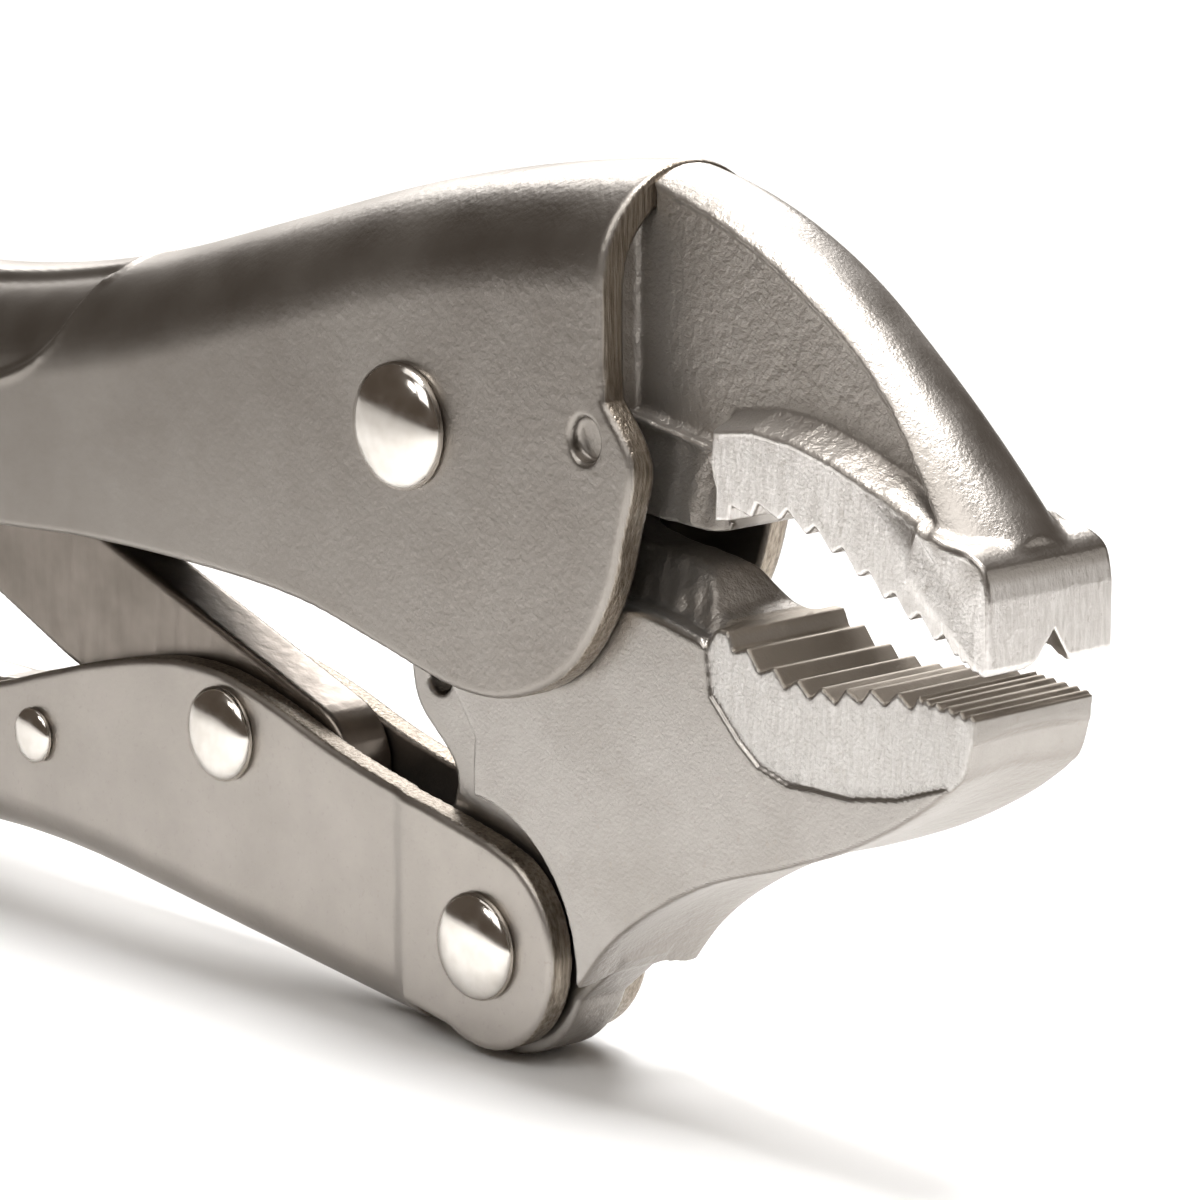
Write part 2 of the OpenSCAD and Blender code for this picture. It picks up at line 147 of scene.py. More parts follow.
def outline(points, g):
    """Signed distance to a closed outline, negative inside."""
    px, pz = g.x[:, None].astype(float), g.z[None, :].astype(float)
    best = np.full((len(g.x), len(g.z)), 1e9)
    inside = np.zeros(best.shape, bool)
    p = np.asarray(points, float)
    for a, b in zip(p, np.roll(p, -1, 0)):
        e = b - a
        wx, wz = px - a[0], pz - a[1]
        t = np.clip((wx * e[0] + wz * e[1]) / max(e @ e, 1e-12), 0, 1)
        best = np.minimum(best, (wx - t * e[0]) ** 2 + (wz - t * e[1]) ** 2)
        if abs(e[1]) > 1e-12:
            inside ^= ((a[1] <= pz) != (b[1] <= pz)) & (px < a[0] + (pz - a[1]) / e[1] * e[0])
    return np.where(inside, -1, 1) * np.sqrt(best)


def radius_from(c, g):
    """Distance from c over [x, z]."""
    return np.hypot(g.x[:, None] - c[0], g.z[None, :] - c[1])


def both(a, b, r=0.0):
    """Where both solids are, with the edge between them rounded to r."""
    if r == 0:
        return np.maximum(a, b)
    return np.minimum(np.maximum(a, b), -r) + np.hypot(np.maximum(a + r, 0), np.maximum(b + r, 0))


def either(a, b, r=0.0):
    """Where either solid is, with a fillet of r between them."""
    return -both(-a, -b, r)


def without(a, b, r=0.0):
    """The first solid without the second."""
    return both(a, -b, r)


def smooth(lo, hi, v):
    t = np.clip((v - lo) / (hi - lo), 0, 1)
    return t * t * (3 - 2 * t)


def half_round(depth, half, g):
    """A bar across y with a half-round back, from the depth below its back."""
    y = np.abs(g.Y)
    return np.where(depth < half, np.hypot(y, half - depth) - half, y - half).astype(np.float32)


def surface(f, g):
    """The zero surface of the field as points in millimetres and quads."""
    axes = (g.x, g.y, g.z)
    cells = np.array(f.shape) - 1
    keys, weights = [], []
    for axis in range(3):
        lo = [slice(None)] * 3
        hi = [slice(None)] * 3
        lo[axis], hi[axis] = slice(0, -1), slice(1, None)
        a, b = f[tuple(lo)], f[tuple(hi)]
        idx = np.argwhere((a < 0) != (b < 0))
        va, vb = a[tuple(idx.T)].astype(float), b[tuple(idx.T)].astype(float)
        t = va / (va - vb)
        p = np.stack([axes[d][idx[:, d]] for d in range(3)], 1).astype(float)
        p[:, axis] += t * (axes[axis][idx[:, axis] + 1] - axes[axis][idx[:, axis]])
        u, v = [d for d in range(3) if d != axis]
        corners = []
        for du, dv in ((-1, -1), (0, -1), (0, 0), (-1, 0)):
            c = idx.copy()
            c[:, u] += du
            c[:, v] += dv
            corners.append(c)
        ok = np.all([(c >= 0).all(1) & (c < cells).all(1) for c in corners], 0)
        ids = np.stack([np.ravel_multi_index(c[ok].T, cells) for c in corners], 1)
        flip = (va[ok] < 0) ^ (axis == 1)
        ids[flip] = ids[flip][:, ::-1]
        keys.append(ids.ravel())
        weights.append(np.repeat(p[ok], 4, 0))
    index = np.unique(np.concatenate(keys), return_inverse=True)[1]
    w = np.concatenate(weights)
    count = np.bincount(index)
    points = np.stack([np.bincount(index, w[:, d]) / count for d in range(3)], 1)
    quads = index.reshape(-1, 4)
    return points, quads[:, ::-1]


def piece(name, body, node, points, faces, keep=1.0):
    """A new piece from points in millimetres, riding on a body and standing for a CAD node."""
    mesh = bpy.data.meshes.new(name)
    mesh.from_pydata((np.asarray(points) * MM + ORIGIN).tolist(), [], [list(f) for f in faces])
    obj = bpy.data.objects.new(name, mesh)
    bpy.context.scene.collection.objects.link(obj)
    if keep < 1:
        obj.modifiers.new("reduce", "DECIMATE").ratio = keep
        obj.data.polygons.foreach_set("use_smooth", [True] * len(obj.data.polygons))
        obj.modifiers.new("flat_sides", "WEIGHTED_NORMAL").weight = 90
        baked = bpy.data.meshes.new_from_object(
            obj.evaluated_get(bpy.context.evaluated_depsgraph_get()))
        obj.modifiers.clear()
        obj.data = baked
        bpy.data.meshes.remove(mesh)
    obj.data.polygons.foreach_set("use_smooth", [True] * len(obj.data.polygons))
    if node:
        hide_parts(node)
    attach(obj, body)
    return obj


def mask(obj, name, values):
    """A value for every vertex, which the piece's material reads."""
    layer = obj.data.attributes.new(name, "FLOAT", "POINT")
    layer.data.foreach_set("value", np.clip(values, 0, 1).astype(np.float32))


def places(obj):
    """Vertex positions in millimetres from the main pivot, and vertex normals."""
    n = len(obj.data.vertices)
    co, no = np.zeros(n * 3, np.float32), np.zeros(n * 3, np.float32)
    obj.data.vertices.foreach_get("co", co)
    obj.data.vertices.foreach_get("normal", no)
    return (co.reshape(-1, 3) - ORIGIN) / MM, no.reshape(-1, 3)


def sample(field, g, p):
    """A field over [x, z] at the points p."""
    i = np.clip(np.searchsorted(g.x, p[:, 0]) - 1, 0, len(g.x) - 2)
    k = np.clip(np.searchsorted(g.z, p[:, 2]) - 1, 0, len(g.z) - 2)
    u = np.clip((p[:, 0] - g.x[i]) / (g.x[i + 1] - g.x[i]), 0, 1)
    v = np.clip((p[:, 2] - g.z[k]) / (g.z[k + 1] - g.z[k]), 0, 1)
    return ((1 - u) * (1 - v) * field[i, k] + u * (1 - v) * field[i + 1, k]
            + (1 - u) * v * field[i, k + 1] + u * v * field[i + 1, k + 1])


# ---------------------------------------------------------------- sizes shared with the CAD

JAW = node_box("fixed_jaw")[1][1]
UPPER_SHEET, SIDE_GAP = 2.45, 0.1
UPPER = JAW + SIDE_GAP + UPPER_SHEET
MOUTH_X = 22.5
NOSE_X = node_box("fixed_jaw")[1][0]
CREST_Z, DROP_X, DROP_R, HOLLOW_X, HOLLOW_R, RAMP, SWELL_R = 3.6, -130.0, 100.0, -76.0, 160.0, 20.0, 180.0
COS, SIN = 0.96, 0.28  # of the steepest slope of both handles
STEEPEST = np.array([SIN, -COS])
HOLLOW_C = np.array([HOLLOW_X, CREST_Z + HOLLOW_R])
RAMP_END = HOLLOW_C + HOLLOW_R * STEEPEST + RAMP * np.array([COS, SIN])
SWELL_C = RAMP_END + SWELL_R * STEEPEST
RIB_C, RIB_R, RIB_END_R, WEB, LAND = np.array([15.6, -22.3]), 44.7, 130.0, 3.5, 3.9
RIB_END_C = RIB_C - (RIB_END_R - RIB_R) * np.array([0.6, 0.8])
LUG, LUG_R, LUG_RECESS_R, BOSS_R, BOSS_GAP = 2.5, 9.2, 11.3, 10.2, 1.8
LOWER_SHEET, EAR_R = 2.3, 8.4
WALL_IN = LUG + 0.1
WALL_OUT = WALL_IN + LOWER_SHEET
CHANNEL_END_X = node_box("screw_bush")[0][0] + 15
COLLAR_X = node_box("screw_bush")[0][0]
SPRING_FRONT, SPRING_REAR, HOOK_HOLE_R = np.array([-3.4, -21.4]), np.array([-49.0, 0.6]), 1.3


def teeth(points, count, depth, root, side=1):
    """Crests on the curve, with a root part of the way to the next crest."""
    out = []
    for k in range(count):
        out.append(on_curve(points, k / count)[0])
        p, n = on_curve(points, (k + root) / count)
        out.append(p + side * depth * n)
    return out


# ---------------------------------------------------------------- upper handle


def upper_depth(g):
    """Depth below the crest of the upper handle."""
    x, z = g.x[:, None], g.z[None, :]
    drop = DROP_R - np.hypot(x - DROP_X, z - (CREST_Z - DROP_R))
    flat = CREST_Z - z + 0 * x
    hollow = np.hypot(x - HOLLOW_C[0], z - HOLLOW_C[1]) - HOLLOW_R
    ramp = (x - RAMP_END[0]) * SIN - (z - RAMP_END[1]) * COS
    swell = SWELL_R - np.hypot(x - SWELL_C[0], z - SWELL_C[1])
    on_ramp = (x - HOLLOW_C[0]) * COS + (z - HOLLOW_C[1]) * SIN > 0
    on_swell = (x - SWELL_C[0]) * COS + (z - SWELL_C[1]) * SIN > 0
    front = np.where(on_swell, swell, np.where(on_ramp, ramp, hollow))
    return np.where(x < DROP_X, drop, np.where(x < HOLLOW_X, flat, front))


UPPER_SIDE = (
    [[MOUTH_X, 40], [MOUTH_X, 8]]
    + curve([[22.7, 5], [25.8, 0.6], [24.8, -4.5], [22.8, -10.6], [18.6, -16.2], [12.4, -19.3],
             [5.5, -19.7], [-4, -17.7], [-13, -15.9], [-24, -15.2], [-40, -15.2], [-56, -16.2],
             [-80, -17], [-120, -17.2]])
    + [[CHANNEL_END_X + 3, -17.2], [CHANNEL_END_X, -15], [CHANNEL_END_X, 40]])


def make_upper_handle():
    g = Grid(steps((COLLAR_X - 1, -78, 0.8), (-78, -20, 0.45), (-20, 27, 0.26)),
             steps((-9.4, 9.4, 0.27)), steps((-21, 24, 0.27)))
    depth = g.column(upper_depth(g))
    side = g.column(outline(UPPER_SIDE, g))
    x, z = g.x[:, None], g.z[None, :]
    # The grip is pressed in a little behind a sweeping line
    grip_line = curve([[-40, 18], [-41.4, 7.2], [-42.6, 5.8], [-43.5, 3.6], [-44.7, 1.3], [-46.8, -0.7],
                       [-49.4, -2.2], [-53.4, -3.5], [-62, -4.8], [-80, -5.8], [-110, -6.2],
                       [-140, -6.2], [-143, 0], [-143, 18]])
    grip = outline(grip_line, g)
    pressed = g.column(0.55 * smooth(0.3, -0.55, grip) * smooth(0.15, 1.4, upper_depth(g)))
    outer = half_round(depth, UPPER, g) + pressed - g.column(0.24 * np.exp(-((grip - 0.1) / 0.42) ** 2))
    inner = half_round(depth - UPPER_SHEET, UPPER - UPPER_SHEET, g)
    f = both(outer, side, 0.62)
    f = without(f, both(inner, side - 5), 0.2)
    # Stake marks that hold the fixed jaw, pressed in on both sides
    stake = g.column(np.hypot((x - 20.7) / 0.92, (z - 1.8)) - 1.75)
    dimple = both(stake, UPPER - 0.95 - np.abs(g.Y) + 0.16 * (g.column(z + 0 * x) - 1.8), 0.35)
    f = without(f, dimple, 0.4)
    # Collar round the bush
    tube = np.hypot(g.Y, g.column(z + 0 * x) - SCREW_Z)
    along = g.column(x + 0 * z)
    collar = both(tube - 8.4, np.abs(along - COLLAR_X - 10) - 10, 0.9)
    f = either(f, collar, 0.5)
    f = without(f, tube - 6.3, 0.3)
    points, faces = surface(f, g)
    obj = piece("handle_upper_shell", "upper_frame", "upper_handle", points, faces, 0.34)
    p, n = places(obj)
    edge = sample(outline(UPPER_SIDE, g), g, p)
    mask(obj, "cut", smooth(-0.62, -0.2, edge) * smooth(0.55, 0.2, np.abs(n[:, 1])))
    mask(obj, "front", smooth(-45, 10, p[:, 0]))
    return obj


# ---------------------------------------------------------------- fixed jaw

UPPER_GRIP = [[33.6, -2.6], [38.3, -1.8], [43.2, -3], [48, -5.2], [52.6, -7.2], [56.6, -8.9]]
UPPER_TIP = [[56.6, -8.9], [59.2, -9.9]]
GROOVE_SLOPE = math.radians(24)


def make_fixed_jaw():
    g = Grid(steps((-5, 20, 0.5), (20, 60.5, 0.18)), steps((-6.7, 6.7, 0.18)), steps((-11, 23, 0.18)))
    x, z = g.x[:, None], g.z[None, :]
    near_nose = (x - RIB_C[0]) * 0.8 - (z - RIB_C[1]) * 0.6 > 0
    rib_depth = np.where(near_nose, RIB_END_R - radius_from(RIB_END_C, g), RIB_R - radius_from(RIB_C, g))
    tang_depth = SWELL_R - UPPER_SHEET - SIDE_GAP - radius_from(SWELL_C, g)
    jaw_side = outline(
        [[MOUTH_X, 40], [MOUTH_X, -4.3]] + curve([[28.5, -4.5], [31, -4.1], [32, -2.9]], 3)
        + rounded(teeth(UPPER_GRIP, 9, 1.05, 0.24), 0.16) + rounded(teeth(UPPER_TIP, 3, 0.45, 0.4), 0.1)
        + [UPPER_TIP[1], [60, -9], [60, 40]], g)
    rib_side = np.maximum(jaw_side, x - 58.6)
    tang_side = outline([[24, 40], [-4, 40]] + arc(MAIN, BOSS_R + BOSS_GAP, 109.5, 8)
                        + [[15, -2], [18.5, -4], [22.5, -4.3], [24, -4.3]], g)
    rib = both(half_round(g.column(rib_depth), JAW, g), g.column(rib_side), 0.2)
    tang = both(half_round(g.column(tang_depth), JAW, g), g.column(tang_side), 0.3)
    nose_side = outline(curve([[52.6, 0.2], [55.6, -0.9], [57.8, -1.2], [59.4, -2.2], [NOSE_X, -4.4]])
                        + [[NOSE_X, -9.3], [59.6, -9.8], UPPER_TIP[1], [56.6, -7.6], [52, -4]], g)
    nose = both(np.abs(g.Y) - JAW, g.column(nose_side), 0.35)
    f = either(either(rib, nose, 0.5), tang, 0)
    # Cast web between the rib and the tooth block, which it meets in a slope
    block = outline([[32, 3.6], [35.8, 4.2], [40, 3.9], [44.1, 3], [49.2, 1.3], [54.2, -1.2], [57.8, -1.4],
                     [61, -4.5], [61, -12], [40, -12], [31, -6]], g)
    web_side = outline(
        [[20.8, 3.5], [20.8, 21.1]]
        + curve([[23.1, 20.5], [27.6, 19.2], [33.2, 17.1], [36.9, 15.2], [41.2, 12.6], [44.2, 10.5],
                 [48.3, 6.5], [52.1, 2], [54, -0.8]])
        + [[52, -1.5], [44, 1.5], [36, 2.5], [32.4, 2], [30.6, 2.1]], g)
    ripple = 0.05 * np.sin(1.9 * x + 0.7 * z) * np.sin(1.3 * z - 0.4 * x + 1)
    slope = 3.4 * smooth(1.5, -0.25, block)
    web = both(g.column(web_side + ripple), g.column(WEB + slope) - np.abs(g.Y), 0.7)
    f = without(f, web, 0.4)
    rear_side = outline([[20.8, 3], [20.8, 21], [30, 20], [31, 2], [32.1, -0.5], [32, -3.3], [31, -9],
                         [20, -9]], g)
    f = without(f, both(g.column(np.maximum(rear_side, z - 8)), 4.9 - np.abs(g.Y), 0.5), 0.2)
    land_side = outline([[20, 3.1], [29.8, 1.8], [31.6, 1.2], [31.9, -0.5], [31.7, -3], [31, -7],
                         [20, -7]], g)
    land = both(g.column(land_side), g.column(LAND + 2.2 * ripple) - np.abs(g.Y), 0.6)
    f = without(f, land, 0.2)
    # Groove along the teeth towards the tip
    rise = (x - NOSE_X) * math.sin(GROOVE_SLOPE) + (z + 9.9) * math.cos(GROOVE_SLOPE)
    rise = g.column(rise)
    left = ((rise - 2.4) * 2.85 - (g.Y - 0.35) * 3.0) / math.hypot(2.85, 3.0)
    right = ((rise - 2.4) * 2.15 + (g.Y - 0.35) * 3.0) / math.hypot(2.15, 3.0)
    groove = np.maximum(np.maximum(left, right), g.column(44.5 - x + 0 * z) * 0.3)
    f = without(f, groove, 0.12)
    points, faces = surface(f, g)
    obj = piece("jaw_fixed_forging", "upper_frame", "fixed_jaw", points, faces, 0.3)
    p, n = places(obj)
    in_web = sample(np.minimum(web_side, land_side), g, p)
    on_teeth = sample(jaw_side, g, p)
    mask(obj, "cast", smooth(1.6, -0.3, in_web) * smooth(-0.3, 0.1, sample(block, g, p)))
    machined = smooth(0.1, -0.2, sample(block, g, p)) * smooth(0.9, 0.97, np.abs(n[:, 1]))
    mask(obj, "machined", np.maximum(machined, smooth(-0.35, -0.15, on_teeth) * (p[:, 2] < 1)
                                     * (p[:, 0] > 32)))
    return obj


# ---------------------------------------------------------------- lower jaw

LOWER_GRIP = [[33.2, -11], [38.1, -12.8], [43, -13.4], [48, -12.6], [52.9, -12.3]]
LOWER_TIP = [[52.9, -12.3], [58.7, -12.8]]


def make_lower_jaw():
    g = Grid(steps((-8.5, 20, 0.3), (20, 59.2, 0.18)), steps((-6.7, 6.7, 0.2)), steps((-50.6, 11.4, 0.2)))
    x, z = g.x[:, None], g.z[None, :]
    fine = []
    for k in range(6):
        fine.append(on_curve(LOWER_TIP, k / 6)[0])
        fine.append(on_curve(LOWER_TIP, (k + 0.5) / 6)[0] - [0, 0.45])
    crest = teeth(LOWER_GRIP, 8, 1.05, 0.56, -1)
    under = curve([[58.4, -15.2], [57.7, -17.4], [56.4, -18.8], [52.3, -21.8], [46.3, -25.1],
                   [39.5, -27.9], [31.6, -30.7], [25, -34.3], [20.2, -38], [16.6, -42.3]])
    body_side = outline(
        arc(MAIN, BOSS_R, 222, 0, 30)
        + curve([[13.5, -4.4], [19, -6.6], [24.5, -7.3], [27.2, -7.8], [28.6, -8.9], [29.8, -10.4],
                 [31.4, -10.9]])
        + rounded(crest + fine + [LOWER_TIP[1]], 0.16) + under
        + arc(FRONT, LUG_RECESS_R + 1, -14, 88, 10)
        + rounded([[4.6, -29.4], [4.9, -25], [5.2, -20]], 1)[4:8], g)
    # The underside is hollowed along its middle
    hollow = 0.55 * np.clip(1 - (g.Y / 5.2) ** 2, 0, 1)
    under_side = outline(under + [[0, -42], [0, 20], [70, 20], [70, -12]], g)
    body = both(np.abs(g.Y) - JAW, g.column(body_side), 0.45)
    body = both(body, g.column(under_side) + hollow, 0.5)
    # The gripping block is ground a little below the forged sides
    ledge = outline([[30, -6], [31.6, -16], [34.6, -18.9], [36.7, -20.4], [39.8, -21.2], [46.1, -21.1],
                     [51.1, -20.2], [55.1, -18.8], [62, -17.6], [62, -6]], g)
    ground = both(g.column(ledge), JAW - 0.32 - np.abs(g.Y))
    body = without(body, ground, 0.15)
    # Narrow neck in the throat
    neck_side = outline([[12, -6], [19, 0], [30, 0], [33.4, -8.6], [30.9, -12.1]]
                        + curve([[30.4, -11.9], [25, -10.9], [19.5, -10.7], [14, -9.5]], 4), g)
    neck = 1.9 + 0.62 * np.clip(-7.4 - z, 0, 6) + 0.12 * np.sin(2.3 * x) * np.sin(1.7 * z + x)
    body = without(body, both(g.column(neck_side), g.column(neck) - np.abs(g.Y), 0.5), 0.6)
    # Room for the ears of the lower handle
    room = both(g.column(radius_from(FRONT, g) - LUG_RECESS_R), LUG - np.abs(g.Y), 0.5)
    body = without(body, room, 0.55)
    lug_side = outline(arc(FRONT, LUG_R, 150, 340, 30) + [[18, -40], [20, -34], [8, -18], [-3, -17.5]]
                       + curve([[-7, -20.4], [-6, -24], [-1.6, -28.6], [-3.2, -34]]), g)
    lug = both(np.abs(g.Y) - LUG, g.column(lug_side), 0.4)
    f = either(body, lug, 0.3)
    hook_hole = radius_from(SPRING_FRONT, g) - HOOK_HOLE_R
    f = without(f, g.column(hook_hole) + 0 * g.Y, 0.25)
    points, faces = surface(f, g)
    obj = piece("jaw_lower_forging", "moving_jaw", "lower_jaw", points, faces, 0.3)
    p, n = places(obj)
    mask(obj, "machined", smooth(0.1, -0.1, sample(ledge, g, p)) * smooth(0.9, 0.97, np.abs(n[:, 1])))
    on_neck = smooth(0.2, -0.5, sample(neck_side, g, p))
    mask(obj, "cast", np.maximum(smooth(-0.2, -0.6, n[:, 2]) * (p[:, 2] < -14), on_neck))
    # Painted shade: up-facing surfaces of the teeth are coloured darker, and made rougher
    mask(obj, "tooth_top_shade", smooth(0.2, 0.5, n[:, 2]) * (p[:, 0] > 31) * (p[:, 2] > -16))
    return obj


# ---------------------------------------------------------------- lower handle

SPINE_FRONT = np.array([-5.5, -50.0])
RISE = math.radians(6.5)
RISE_LENGTH, ARCH_R, SAG_R = 39.0, 125.0, 235.0
TAIL_X = node_box("lower_handle")[0][0]
LOWER_SIDE = (
    arc(FRONT, EAR_R, -118, 62, 24)
    + curve([[5.4, -32.6], [-1.5, -31.2], [-7.5, -30.2], [-14.5, -28.6], [-22.5, -26.2], [-29, -24.9],
             [-36, -25.1], [-44.5, -26.9], [-52, -29], [-60, -31.4], [-72, -34], [-92, -36.2],
             [-124, -37.6], [-148, -37], [-162, -37.6], [TAIL_X, -40.6]])
    + [[TAIL_X, -60], [-5.2, -60], [-5.2, -47.5]])


def lower_depth(g):
    """Depth above the back of the lower handle."""
    x, z = g.x[:, None] - SPINE_FRONT[0], g.z[None, :] - SPINE_FRONT[1]
    u = x * math.cos(RISE) - z * math.sin(RISE)
    v = x * math.sin(RISE) + z * math.cos(RISE)
    arch_c = np.array([-RISE_LENGTH, -ARCH_R])
    sag_c = arch_c + (ARCH_R + SAG_R) * np.array([-SIN, COS])
    arch = np.hypot(u - arch_c[0], v - arch_c[1]) - ARCH_R
    sag = SAG_R - np.hypot(u - sag_c[0], v - sag_c[1])
    past = (u - arch_c[0]) * COS + (v - arch_c[1]) * SIN < 0
    return np.where(u > -RISE_LENGTH, v, np.where(past, sag, arch))


def make_lower_handle():
    g = Grid(steps((TAIL_X - 0.6, -75, 0.8), (-75, -50, 0.5), (-50, 13.5, 0.25)),
             steps((-5.7, 5.7, 0.22)), steps((-50.7, -23.6, 0.24)))
    x = g.x[:, None] + 0 * g.z[None, :]
    depth = g.column(lower_depth(g))
    # The ears stand a little wider than the channel
    wide = g.column(0.35 * smooth(-6.6, -4.6, x))
    ears = g.column(smooth(-5.4, -5.0, x))
    side = outline(LOWER_SIDE, g)
    y = np.abs(g.Y) - wide
    back = np.hypot(y, WALL_OUT - depth) - WALL_OUT
    outer = np.where((depth < WALL_OUT) & (ears < 0.5), back, y - WALL_OUT)
    under = depth - LOWER_SHEET
    back = np.hypot(y, WALL_IN - under) - WALL_IN
    inner = np.where((under < WALL_IN) & (ears < 0.5), back, y - WALL_IN)
    f = both(outer, g.column(side), 0.55)
    f = without(f, inner, 0.2)
    points, faces = surface(f.astype(np.float32), g)
    obj = piece("handle_lower_shell", "lower_handle_body", "lower_handle", points, faces,
                0.34)
    p, n = places(obj)
    mask(obj, "cut", smooth(-0.5, -0.15, sample(side, g, p)) * smooth(0.6, 0.25, np.abs(n[:, 1])))
    mask(obj, "front", 0.25 + 0 * p[:, 0])
    return obj


# ---------------------------------------------------------------- link, lever and small plates

LINK_LENGTH, LINK_SLOPE, LINK_W, LINK_TIP_R, LINK_NOSE = 62.0, math.radians(18.8), 6.2, 4.2, 13.0
LINK_HALF = WALL_IN - 0.2


def make_link():
    flat = (arc([LINK_NOSE - 5.4, LINK_W - 5.4], 5.4, 0, 90, 8)
            + [[-24, LINK_W], [-LINK_LENGTH + 14, LINK_TIP_R + 0.4]]
            + arc([-LINK_LENGTH + LINK_TIP_R, 0], LINK_TIP_R, 90, 270, 14)
            + [[-LINK_LENGTH + 14, -LINK_TIP_R - 0.4], [-24, -LINK_W]]
            + arc([LINK_NOSE - 5.4, 5.4 - LINK_W], 5.4, -90, 0, 8))
    c, s = math.cos(LINK_SLOPE), math.sin(LINK_SLOPE)
    shape = [LINK + np.array([p[0] * c + p[1] * s, -p[0] * s + p[1] * c]) for p in flat]
    low, high = node_box("toggle_link")
    g = Grid(steps((low[0] - 0.6, high[0] + 0.6, 0.3)), steps((-2.7, 2.7, 0.27)),
             steps((low[2] - 0.6, high[2] + 0.6, 0.3)))
    f = both(np.abs(g.Y) - LINK_HALF, g.column(outline(shape, g)), 0.4)
    points, faces = surface(f.astype(np.float32), g)
    return piece("toggle_link_bar", "toggle", "toggle_link", points, faces, 0.3)


def make_lever():
    low, high = node_box("release_lever")
    half = WALL_IN - 0.3
    side = (arc(LEVER + [9.5, -0.9], 2.5, -80, 100, 10) + arc(LEVER, 4.2, 80, 100, 4)
            + curve([[-62, -31.6], [-90, -31.4], [-120, -29.8], [-142, -26.6], [-156, -22.6],
                     [-163, -19.6]])
            + curve([[-164.2, -21.6], [-157, -25], [-143, -29.4], [-121, -33.4], [-90, -36],
                     [-64, -37.6]])
            + arc(LEVER, 4, 255, 285, 6))
    g = Grid(steps((low[0] - 0.6, -70, 0.5), (-70, high[0] + 0.6, 0.35)), steps((-6.1, 6.1, 0.3)),
             steps((low[2] - 0.6, high[2] + 0.6, 0.3)))
    x = g.column(g.x[:, None] + 0 * g.z[None, :])
    pad = 3.3 * smooth(-126, -147, x) * np.sqrt(np.clip(1 - (np.clip(-157 - x, 0, 8) / 8) ** 2, 0.05, 1))
    pad_side = outline([[-126, -29], [-140, -27], [-150, -24.6], [-157.5, -21.9], [-163, -19.6],
                        [-164.2, -21.6], [-158.4, -24], [-150.6, -26.8], [-140.4, -29.2], [-126, -31.4]], g)
    f = both(np.abs(g.Y) - half, g.column(outline(side, g)), 0.55)
    f = either(f, both(np.abs(g.Y) - half - pad, g.column(pad_side), 0.55), 0.3)
    points, faces = surface(f.astype(np.float32), g)
    return piece("release_lever_bar", "lever", "release_lever", points, faces, 0.35)


def make_anchor():
    side = rounded([[-60, 1.7], [-50.5, 3], [-47.4, 2.8], [-46.4, 0.4], [-48, -1.8], [-52, -1.6],
                    [-60, -3]], 0.5)
    g = Grid(steps((-60.6, -46, 0.25)), steps((-1.3, 1.3, 0.2)), steps((-3.6, 4.4, 0.25)))
    f = both(np.abs(g.Y) - 1, g.column(outline(side, g)), 0.25)
    f = without(f, g.column(radius_from(SPRING_REAR, g) - HOOK_HOLE_R) + 0 * g.Y, 0.15)
    points, faces = surface(f.astype(np.float32), g)
    return piece("spring_anchor_plate", "upper_frame", "spring_anchor", points, faces, 0.5)


# ---------------------------------------------------------------- turned pieces

ROUND = 72


def bands(rows, segments, closed=True):
    """Faces between rings of points, with a cap on the first and the last ring if closed."""
    faces = []
    for i in range(rows - 1):
        for k in range(segments):
            n = (k + 1) % segments
            faces.append([i * segments + k, i * segments + n,
                          (i + 1) * segments + n, (i + 1) * segments + k])
    if closed:
        faces.append(list(range(segments))[::-1])
        faces.append([(rows - 1) * segments + k for k in range(segments)])
    return faces


def lathe(profile, segments, place, closed=True):
    """Points and faces of a profile of (radius, height) turned round an axis; place maps a, r and h."""
    points = [place(2 * math.pi * k / segments, r, h) for r, h in profile for k in range(segments)]
    return points, bands(len(profile), segments, closed)


def make_rivet(name, node, body, centre, head_r, height, seat, shank_r):
    """A shank with a domed head at each side, its dome slightly flattened by the set."""
    rim, rings = 0.34, 14
    profile = [(shank_r, 0.0), (shank_r, seat - 0.05), (head_r - 0.35, seat - 0.02),
               (head_r - 0.08, seat + 0.12), (head_r, seat + rim)]
    for k in range(1, rings + 1):
        a = math.pi / 2 * k / rings
        profile.append((max(head_r * math.cos(a) ** 0.92, 0.02),
                        seat + rim + (height - rim) * math.sin(a) ** 0.94))
    whole = [(r, -h) for r, h in reversed(profile)] + profile
    points, faces = lathe(whole, ROUND, lambda a, r, h: (centre[0] + r * math.cos(a), -h,
                                                         centre[1] + r * math.sin(a)))
    return piece(name, body, node, points, faces)


def make_bush():
    low, high = node_box("screw_bush")
    length = high[0] - low[0]
    outer = (high[1] - low[1]) / 2
    hole = 4.05
    profile = [(hole, 0.5), (hole + 0.5, 0), (outer - 0.5, 0), (outer, 0.5), (outer, length - 0.4),
               (outer - 0.4, length), (hole + 0.4, length), (hole, length - 0.4)]
    points, faces = lathe(profile + profile[:1], ROUND,
                          lambda a, r, h: (low[0] + h, r * math.cos(a), SCREW_Z + r * math.sin(a)), False)
    return piece("screw_bush_ring", "upper_frame", "screw_bush", points, faces)


